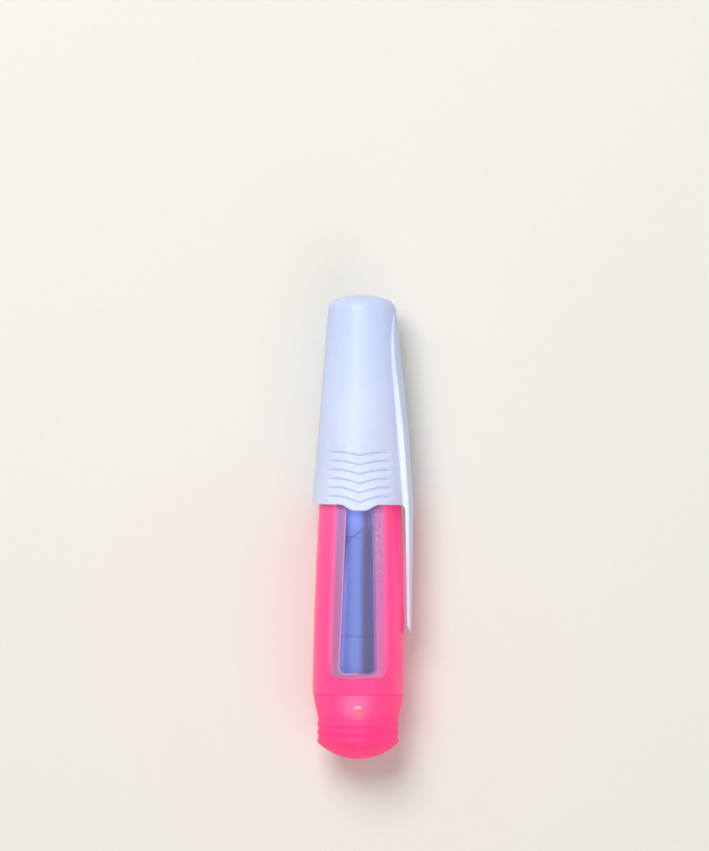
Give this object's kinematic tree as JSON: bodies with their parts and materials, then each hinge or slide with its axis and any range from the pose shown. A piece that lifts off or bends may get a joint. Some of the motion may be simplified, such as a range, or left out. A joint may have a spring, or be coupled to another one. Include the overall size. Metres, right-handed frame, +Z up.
{
  "type": "chalk wheel marker",
  "caption": "Capped pen-shaped tailor's marker: clear chalk tube seen through a barrel window, toothed wheel under a cap with a pocket clip, ribbed tail cap.",
  "frame": {"origin": "on the table under the middle of the box, with the capped pen lying down and its window facing up", "axes": "+Y along the pen from the tail to the cap's top, +Z up out of the window, +X toward the pocket clip"},
  "size_m": [0.0178, 0.0812, 0.0169],
  "materials": {
    "cap_plastic": "satin moulded plastic, pale periwinkle",
    "barrel_plastic": "glossy translucent hot pink",
    "tail_plastic": "glossy deeper pink",
    "clear_plastic": "clear moulded plastic, dusty inside",
    "chalk": "fine blue powder",
    "nose_plastic": "white moulded plastic",
    "collar_plastic": "glossy pink",
    "steel": "bright turned steel"
  },
  "bodies": {
    "barrel": {"barrel": "barrel_plastic", "chalk_tube": "clear_plastic", "chalk_powder": "chalk", "nose_left": "nose_plastic", "nose_right": "nose_plastic", "nose_collar": "collar_plastic", "wheel_axle": "steel"},
    "cap": {"cap": "cap_plastic"},
    "tail_cap": {"tail_cap": "tail_plastic"},
    "chalk_wheel": {"chalk_wheel": "steel"}
  },
  "joints": [
    {"name": "cap_pull", "type": "slide", "parent": "barrel", "child": "cap", "axis": [0, 1, 0], "range_m": [0, 0.04]},
    {"name": "tail_cap_pull", "type": "slide", "parent": "barrel", "child": "tail_cap", "axis": [0, -1, 0], "range_m": [0, 0.012]},
    {"name": "wheel_spin", "type": "hinge", "parent": "barrel", "child": "chalk_wheel", "pos_m": [-0.00049, 0.03075, 0.0084], "axis": [1, 0, 0], "continuous": true}
  ]
}
